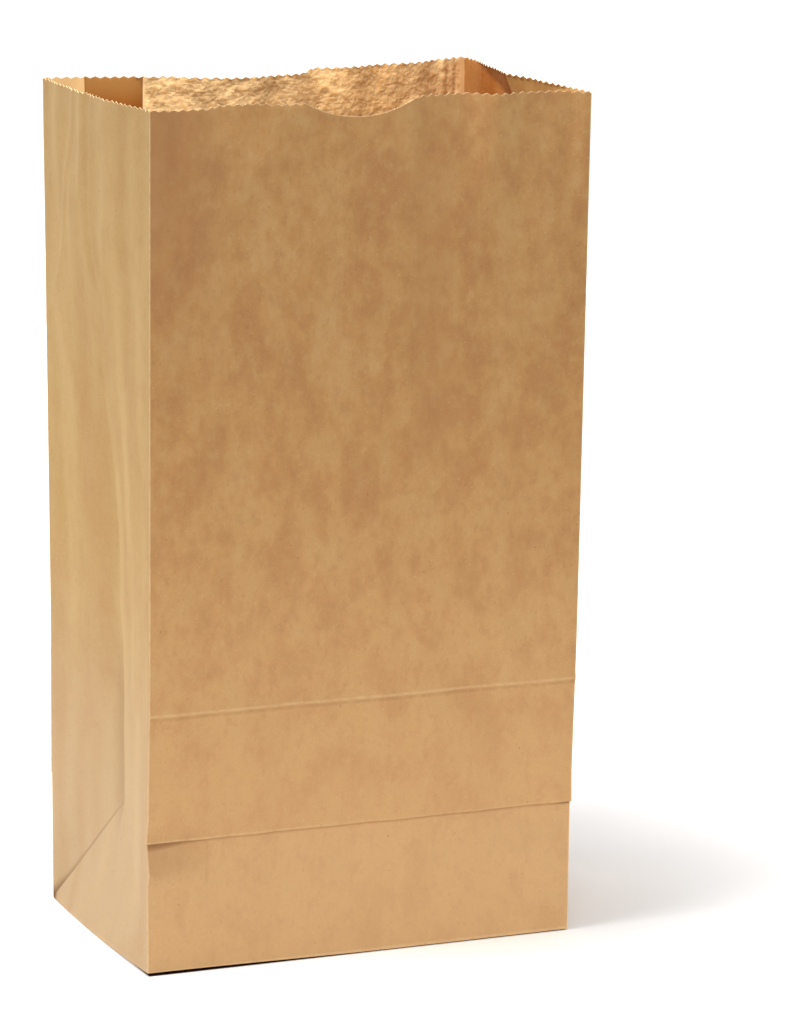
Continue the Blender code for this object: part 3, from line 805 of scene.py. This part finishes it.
def kraft(tree, finish, base, contrast, streak):
    """Kraft paper: clouds, mottles, streaks along the machine's run, grain, flecks, fibres and specks."""
    place = tree.object_place()
    tall = tree.vector("MULTIPLY", place, TALL)
    red, pale, dark, light = finish.red_cloud, finish.pale_cloud, finish.fibre_dark, finish.fibre_light
    cloud = tree.noise(tall, 1 / finish.cloud_size, 3.0, 0.6)
    tint = clouds(tree, base, cloud, (0.46, 0.68, contrast * 0.56, red), (0.46, 0.70, contrast * 0.36, pale))
    mottle = tree.noise(tall, 1 / finish.mottle_size, 3.0, 0.56)
    tint = clouds(tree, tint, mottle, (0.48, 0.72, contrast * 0.42, red), (0.48, 0.72, contrast * 0.34, pale))
    bands = tree.noise(tree.vector("MULTIPLY", place, STREAKS), 1.0, 0.0) - 0.5
    tint = tree.mix(bands.ramp(0.0, 0.25) * streak, tint, light)
    tint = tree.mix((-bands).ramp(0.0, 0.25) * streak, tint, red)
    grain = tree.noise(place, 1 / finish.grain_size, 2.0, 0.6)
    tint = clouds(tree, tint, grain, (0.52, 0.80, 0.12, light), (0.52, 0.80, 0.10, dark))
    for shift, shade, strength in ((0.0, dark, 0.16), (3.7, light, 0.08)):
        sockets = {"Vector": tree.vector("ADD", tall, (shift,) * 3), "Scale": 1 / finish.fleck_spacing}
        distance, cell = tree.node("ShaderNodeTexVoronoi", {}, sockets, ("Distance", "Color"))
        chance = tree.node("ShaderNodeSeparateColor", {}, {"Color": cell})
        fleck = (1 - distance.ramp(0.08, 0.34)) * chance.ramp(0.35, 0.9)
        tint = tree.mix(fleck * (contrast * 0.6 + 0.4) * strength, tint, shade)
    for turn in (0.5, -0.9):
        laid = tree.node("ShaderNodeVectorRotate", {"rotation_type": "EULER_XYZ"},
                         {"Vector": place, "Rotation": (turn,) * 3})
        thin = tree.noise(tree.vector("MULTIPLY", laid, FIBRES), 1.0, 0.0)
        tint = tree.mix(thin.ramp(0.74, 0.84) * 0.40, tint, light)
    bark = tree.node("ShaderNodeTexVoronoi", {}, {"Vector": place, "Scale": 1 / finish.speck_spacing})
    pick = tree.noise(place, 0.9 / finish.speck_spacing, 0.0)
    specks = (1 - bark.ramp(0.030, 0.060)) * pick.ramp(0.48, 0.58)
    return tree.mix(specks * 0.38, tint, finish.speck), grain


def paper_bump(tree, shader, height, strength, distance):
    bump = tree.node("ShaderNodeBump", {}, {"Strength": strength, "Distance": distance, "Height": height})
    tree.feed(shader, "Normal", bump)


def sheet_map(tree):
    """Distance along the sheet and height, in metres."""
    return tree.node("ShaderNodeUVMap", {"uv_map": "sheet"})


def x_and_y(tree, vector):
    return tree.node("ShaderNodeSeparateXYZ", {}, {0: vector}, ("X", "Y"))


def stored_value(tree, name):
    return tree.node("ShaderNodeAttribute", {"attribute_name": name}, {}, "Fac")


def line(distance, width):
    """1 on a line, falling to 0 at its half width."""
    return 1 - abs(distance).ramp(0.0, width)


def stretch(value, start, end, soft):
    """1 from start to end, falling to 0 over a soft edge outside."""
    return value.ramp(start - soft, start) * (1 - value.ramp(end, end + soft))


def outside_paper(finish, sheet):
    """The outside: painted shade that makes it browner and darker upwards and in the folds' hollows, a left
    gusset painted paler, and worn edges with painted highlight.
    """
    material, tree, shader = paper_material("kraft_outside", finish)
    shape, lower, upper, apex = sheet.shape, sheet.lower_crease, sheet.upper_crease, sheet.fold_height
    along, height = x_and_y(tree, sheet_map(tree))
    left_start = 2 * shape.width + shape.depth
    front = 1 - along.ramp(shape.width, shape.width + HARD)
    left = along.ramp(left_start - HARD, left_start)
    high = height.ramp(10 * MM, 250 * MM)
    contrast = 0.28 + height.ramp(lower, upper + 30 * MM) * 0.22 + high * front * 0.45 - left * 0.20
    # Painted shade: the paper is browner and darker upwards and above the lower crease, most on the front
    band = height.ramp(lower - HARD, lower + HARD) * 0.24
    base = tree.mix((high + band).least(1.0) * (0.45 + front * 0.55), finish.outside, finish.front_top)
    # The left gusset: the same paper painted paler as painted light from the left, with painted shade, darker
    # and yellower, upwards
    side = tree.mix(height.ramp(30 * MM, 150 * MM), finish.side, finish.side_top)
    tint, grain = kraft(tree, finish, tree.mix(left, base, side), contrast, left * 0.16 + 0.04)
    flushed = (1 - along.ramp(2 * MM, 34 * MM)) * height.ramp(190 * MM, 262 * MM)
    patch = line(along - 98 * MM, 12 * MM) * stretch(height, 190 * MM, 262 * MM, 30 * MM) * 0.5
    tint = tree.mix(flushed.most(patch) * front * 0.55, tint, finish.red_cloud)

    fray = tree.noise(tree.object_place(), 420.0, 2.0)
    broken = fray.ramp(0.30, 0.60) * 0.6 + 0.4
    faces = (1 - left) * (1 - stretch(along, shape.width, shape.width + shape.depth, HARD))
    from_left = 1 - along.ramp(0.0, 22 * MM)
    from_right = front * along.ramp(shape.width - 9 * MM, shape.width)

    # Painted shade along the left gusset's slanting fold, in the back corner that it runs into, and in the
    # hollow beside its middle
    across = along - left_start
    back_half = left * (1 - across.ramp(apex - HARD, apex))
    near_corner = 1 - across.ramp(0.0, apex)
    wedge = (height - across) / (1.5 * MM + near_corner * near_corner * 4.5 * MM)
    slant = back_half * (1 - wedge.ramp(0.0, 1.0)) * wedge.ramp(-0.1, 0.0) * (near_corner * 0.40 + 0.30)
    from_corner = (across * across + height * height).math("SQRT")
    corner = back_half * (1 - from_corner.ramp(0.8 * MM, 5.0 * MM))
    beside_middle = back_half * across.ramp(apex - 8 * MM, apex)
    beside_middle = beside_middle * stretch(height, 54 * MM, 84 * MM, 26 * MM) * 0.26

    # Painted shade under the lower crease: the shadow of its lip, the dim patch and the short fold at the
    # dent's end, and a line under the upper crease
    under_lower = lower - 0.3 * MM - height
    lip = 1 - under_lower.ramp(0.1 * MM + from_left * 1.0 * MM, 1.2 * MM + from_left * 3.6 * MM)
    lip_left = from_left.most(1 - along.ramp(10 * MM, 26 * MM)) * 0.28 + from_left * 0.14
    lip = lip * under_lower.ramp(-0.5 * MM, 0.0) * front * (0.22 + lip_left + from_right * 0.5)
    dim = front * (1 - along.ramp(12 * MM, 24 * MM)) * stretch(height, 38 * MM, 42 * MM, 9 * MM) * 0.20
    under_upper = line(height - upper + 1.2 * MM, 1.1 * MM) * faces * broken * 0.22
    short = line(along - shape.dent_width, 1.3 * MM) * stretch(height, 33 * MM, 40 * MM, 6 * MM) * 0.11
    hollow = slant
    for mark in (corner, beside_middle, lip, under_upper, short, dim):
        hollow = hollow.most(mark)
    # Painted shade in all these hollows, and darker still in the corner
    tint = tree.mix(hollow, tint, finish.pressed)
    tint = tree.mix(corner * 0.6, tint, finish.under)

    # Worn lines with painted highlight on both creases, along the bottom's edge and down the folds
    worn = line(height - upper, 0.8 * MM) * faces * broken * 0.40
    worn = worn.most(line(height - lower - 0.3 * MM, 0.8 * MM) * front * broken
                     * (0.42 - along.ramp(20 * MM, 90 * MM) * 0.30))
    worn = worn.most(line(height - 0.6 * MM, 1.0 * MM) * broken * (0.55 - left * 0.4))
    for fold in (0.0, shape.width, sheet.girth / 2, sheet.girth / 2 + shape.width, sheet.girth):
        worn = worn.most(line(along - fold, 0.5 * MM) * (fray.ramp(0.25, 0.55) * 0.5 + 0.5))
    tint = tree.mix(worn * 0.75, tint, finish.worn)
    # Painted shade on the underside of the bottom's soft edge
    under = (-height).ramp(0.2 * MM, 1.6 * MM) * stretch(along, 0.0, sheet.girth, HARD)
    tint = tree.mix(under, tint, finish.under)
    tint = tree.mix(stored_value(tree, "edge").ramp(*CUT_BAND) * 0.8, tint, finish.cut)
    tree.feed(shader, "Base Color", tint)
    paper_bump(tree, shader, grain, 0.35, 0.06 * MM)
    return material


def inside_paper(finish, sheet):
    """The inside: painted glow of light shining through the paper at the back, painted shade at the right and
    in the crumples, with facets and the glued lap painted darker.
    """
    material, tree, shader = paper_material("kraft_inside", finish, 0.05)
    shape = sheet.shape
    spot = sheet_map(tree)
    along, height = x_and_y(tree, spot)
    right_middle = shape.width + shape.depth / 2
    back_start = shape.width + shape.depth
    back_end = back_start + shape.width
    lap_end = back_end - shape.lap_from_fold
    lap_start = lap_end - shape.lap_width
    from_fold = along - back_start
    back = stretch(along, back_start, back_end, SOFT)
    # Painted shade on the inside of the right gusset's back half, near the mouth
    deep = stretch(along, right_middle, back_start, SOFT) * height.ramp(200 * MM, 262 * MM)
    deep = deep * (1 - from_fold.ramp(-16 * MM, 0.0) * 0.35)
    lap = stretch(along, lap_start, lap_end, SOFT)
    # Painted glow of light shining through the back's single paper, and a little through the left gusset,
    # growing upwards
    painted_glow = (back + along.ramp(back_end, back_end + SOFT) * 0.2).least(1.0) * height.ramp(*SHINE)

    bend = tree.noise(spot, 1 / (2.2 * finish.facet_size), output="Color")
    bent = tree.vector("MULTIPLY_ADD", bend, (2 * MM,) * 3, spot)
    cells = tree.node("ShaderNodeTexVoronoi", {"distance": "MANHATTAN"},
                      {"Vector": bent, "Scale": 1 / finish.facet_size})
    wide = tree.noise(bent, 1 / (3.4 * finish.facet_size), 2.0)
    limp = stored_value(tree, "limp")
    crumple = cells * 0.7 + abs(wide - 0.5) * 1.8

    base = tree.mix(painted_glow, finish.inside, finish.lit_inside)
    base = tree.mix(deep * 0.92, base, finish.deep_inside)
    tint, grain = kraft(tree, finish, base, 0.5 - deep * 0.42, 0.06)
    # Painted shade in the crumples' hollows and over the back's part beside its right fold
    tint = tree.mix(crumple.ramp(0.60, 1.15) * limp * 0.5, tint, finish.shade)
    shaded = (1 - from_fold.ramp(20 * MM, 100 * MM)) * back * 0.45
    tint = tree.mix(shaded * (from_fold.ramp(14 * MM, 40 * MM) * 0.6 + 0.4), tint, finish.shade)
    # A dimmer painted glow beyond the lap, towards the back's left fold and the left gusset
    tint = tree.mix(along.ramp(lap_end - SOFT, lap_end) * height.ramp(*SHINE) * 0.8, tint, finish.inside_edge)
    # Painted shade in two pleats and in the fold at the back's right end, near the mouth
    folds = line(from_fold - 8.2 * MM, 1.6 * MM).most(line(from_fold - 4.6 * MM, 1.3 * MM))
    folds = folds.most(stretch(from_fold, 0.0, 1 * MM, 2 * MM) * 0.8) * back
    tint = tree.mix(folds * height.ramp(240 * MM, 262 * MM) * 0.40, tint, finish.deep_inside)
    # The lap's double paper, painted darker as less light shines through two plies, with painted shade
    # darkest between 258 and 269 mm high
    shaded_lap = tree.mix(stretch(height, 258 * MM, 269 * MM, 15 * MM), finish.lap, finish.deep_inside)
    tint = tree.mix(lap * (height.ramp(235 * MM, 258 * MM) * 0.65 + 0.35), tint, shaded_lap)
    sides = line(along - lap_end, 0.4 * MM).most(line(along - lap_start, 0.4 * MM))
    tint = tree.mix(sides * 0.6, tint, finish.deep_inside)
    tint = tree.mix(stored_value(tree, "edge").ramp(*CUT_BAND) * 0.5, tint, finish.cut)
    tree.feed(shader, "Base Color", tint)
    paper_bump(tree, shader, crumple * limp + grain * 0.06, 0.75, finish.facet_height)
    return material


def cut_paper(finish, sheet):
    """The sheet's cut edge."""
    material, tree, shader = paper_material("kraft_cut", finish)
    tree.feed(shader, "Base Color", kraft(tree, finish, finish.cut, 0.2, 0.0)[0])
    return material


class PAPERBAG_OT_studio(bpy.types.Operator):
    """Set up the white floor, the lamps and the camera"""

    bl_idname = "paperbag.studio"
    bl_label = "Studio"

    def execute(self, context):
        studio = context.scene.paperbag_studio
        white_floor(context, studio)
        lamps(context, studio)
        aim_camera(context, studio)
        context.scene.view_settings.view_transform = "Standard"
        return {"FINISHED"}


# Half the floor's size in metres, and its whiteness
FLOOR_REACH, FLOOR_WHITE = 6.0, 0.86
# The bag's foot is what lies lower than this
FOOT_TOP = 1.5 * MM
# Painted contact shadow: the dark colour the camera sees of the floor under the bag
FLOOR_CONTACT_SHADOW = tone(64, 42, 30)
# The soft lamps: where each stands, what it points at, and its size, in metres
LAMPS = {
    "window": ((-1.5, 0.1, 0.42), (0, 0, 0.14), (0.9, 0.6)),
    "behind": ((-0.5, 1.4, 0.5), (0, 0, 0.16), (1.2, 0.6)),
    "high": ((-0.5, -1.6, 1.3), (0, 0, 0.14), (1.0, 0.8)),
    "low_front": ((0.05, -0.25, 0.02), (0, 0, 0.03), (0.6, 0.04)),
    "low_left": ((-0.33, 0.0, 0.03), (0, 0, 0.03), (0.5, 0.05)),
    "over": ((-0.05, -0.03, 0.47), (-0.01, 0.03, 0.27), (0.12, 0.06)),
}


def white_floor(context, studio):
    """A white floor. The camera sees it brighter, as in a picture exposed for white, with its shadows and a
    painted contact shadow under the bag.
    """
    mesh = bpy.data.meshes.new("floor")
    corners = [(x * FLOOR_REACH, y * FLOOR_REACH, 0) for x, y in ((-1, -1), (1, -1), (1, 1), (-1, 1))]
    mesh.from_pydata(corners, [], [(0, 1, 2, 3)])
    floor = bpy.data.objects.new("floor", mesh)
    context.scene.collection.objects.link(floor)
    material = bpy.data.materials.new("white_floor")
    material.use_nodes = True
    nodes = material.node_tree.nodes
    shader = nodes["Principled BSDF"]
    shader.inputs["Base Color"].default_value = (*(FLOOR_WHITE,) * 3, 1)
    shader.inputs["Roughness"].default_value = 0.9
    shader.inputs["Specular IOR Level"].default_value = 0.0
    tree = Tree(material.node_tree)
    x, y = x_and_y(tree, tree.object_place())
    foot = [vertex.co for vertex in bpy.data.objects["bag_sheet"].data.vertices if vertex.co.z < FOOT_TOP]
    left, right = min(spot.x for spot in foot), max(spot.x for spot in foot)
    front, back = min(spot.y for spot in foot), max(spot.y for spot in foot)
    # Painted contact shadow over the bag's footprint
    contact_shadow = stretch(x, left + 2.2 * MM, right - 1 * MM, 1 * MM)
    contact_shadow = contact_shadow * stretch(y, front + 1 * MM, back - 1 * MM, 1 * MM)
    # Partly painted shadow: the floor's real shadow shows deepened beside the bag's right side, where the
    # gain is lower, and fades out further away
    beside = tree.node("ShaderNodeCombineXYZ", {}, {"X": x - right, "Y": (y - 0.01) * 0.7})
    far = tree.node("ShaderNodeVectorMath", {"operation": "LENGTH"}, {0: beside}, "Value")
    near_gain, far_gain = studio.floor_gain, studio.far_floor_gain
    gain = far.ramp(0.04, 0.16) * (far_gain * 0.8 - near_gain) + near_gain
    gain = far.ramp(0.2, 1.0) * far_gain * 0.2 + gain
    white = tree.node("ShaderNodeCombineColor", {}, {"Red": gain, "Green": gain, "Blue": gain})
    seen = tree.node("ShaderNodeLightPath", {}, {}, "Is Camera Ray")
    bright = tree.node("ShaderNodeBsdfDiffuse", {}, {"Color": tree.mix(contact_shadow, white, FLOOR_CONTACT_SHADOW)})
    both = tree.node("ShaderNodeMixShader", {}, {0: seen, 1: Value(tree, shader.outputs[0]), 2: bright})
    tree.feed(nodes["Material Output"], "Surface", both)
    mesh.materials.append(material)


def lamps(context, studio):
    """White surroundings and the soft lamps."""
    world = bpy.data.worlds.new("white_room")
    context.scene.world = world
    world.use_nodes = True
    tree = Tree(world.node_tree)
    camera_ray, glossy_ray = tree.node("ShaderNodeLightPath", {}, {}, ("Is Camera Ray", "Is Glossy Ray"))
    strength = camera_ray.most(glossy_ray) * (1 - studio.world_strength) + studio.world_strength
    background = world.node_tree.nodes["Background"]
    background.inputs["Color"].default_value = (1, 1, 1, 1)
    tree.feed(background, "Strength", strength)
    for name, (place, target, size) in LAMPS.items():
        lamp = bpy.data.lights.new(name, "AREA")
        lamp.shape = "RECTANGLE"
        lamp.size, lamp.size_y = size
        lamp.energy = getattr(studio, name + "_power")
        holder = bpy.data.objects.new(name, lamp)
        holder.location = place
        holder.rotation_euler = (Vector(target) - Vector(place)).to_track_quat("-Z", "Y").to_euler()
        holder.visible_camera = False
        context.scene.collection.objects.link(holder)


def aim_camera(context, studio):
    data = bpy.data.cameras.new("camera")
    data.sensor_fit = "HORIZONTAL"
    data.sensor_width = 36.0
    data.lens = studio.focal_pixels * data.sensor_width / PHOTO_WIDTH
    data.clip_end = 20.0
    camera = bpy.data.objects.new("camera", data)
    context.scene.collection.objects.link(camera)
    yaw, pitch = studio.yaw, studio.pitch
    forward = Vector((math.sin(yaw) * math.cos(pitch), math.cos(yaw) * math.cos(pitch), -math.sin(pitch)))
    right = Vector((math.cos(yaw), -math.sin(yaw), 0))
    up = right.cross(forward)
    right, up = (right * math.cos(studio.roll) + up * math.sin(studio.roll),
                 up * math.cos(studio.roll) - right * math.sin(studio.roll))
    turn = Matrix((right, up, -forward)).transposed().to_4x4()
    camera.matrix_world = Matrix.Translation((studio.camera_x, studio.camera_y, studio.camera_z)) @ turn
    context.scene.camera = camera


class PAPERBAG_PT_panel(bpy.types.Panel):
    """Lists the bag's sizes, its finish and the studio"""

    bl_label = "Paper Bag"
    bl_idname = "PAPERBAG_PT_panel"
    bl_space_type = "VIEW_3D"
    bl_region_type = "UI"
    bl_category = "Paper Bag"

    def draw(self, context):
        layout = self.layout
        for operator in (PAPERBAG_OT_sheet, PAPERBAG_OT_studio):
            layout.operator(operator.bl_idname)
        for group in ("paperbag_shape", "paperbag_finish", "paperbag_studio"):
            values = getattr(context.scene, group)
            box = layout.box()
            for name in values.bl_rna.properties.keys():
                if name not in ("rna_type", "name"):
                    box.prop(values, name)


GROUPS = {"paperbag_shape": BagShape, "paperbag_finish": PaperFinish, "paperbag_studio": Studio}
CLASSES = (*GROUPS.values(), PAPERBAG_OT_sheet, PAPERBAG_OT_studio, PAPERBAG_PT_panel)


def register():
    for item in CLASSES:
        bpy.utils.register_class(item)
    for name, group in GROUPS.items():
        setattr(bpy.types.Scene, name, bpy.props.PointerProperty(type=group))


def unregister():
    for name in GROUPS:
        delattr(bpy.types.Scene, name)
    for item in reversed(CLASSES):
        bpy.utils.unregister_class(item)


def main():
    register()
    bpy.ops.paperbag.sheet()
    bpy.ops.paperbag.studio()


if __name__ == "__main__":
    main()
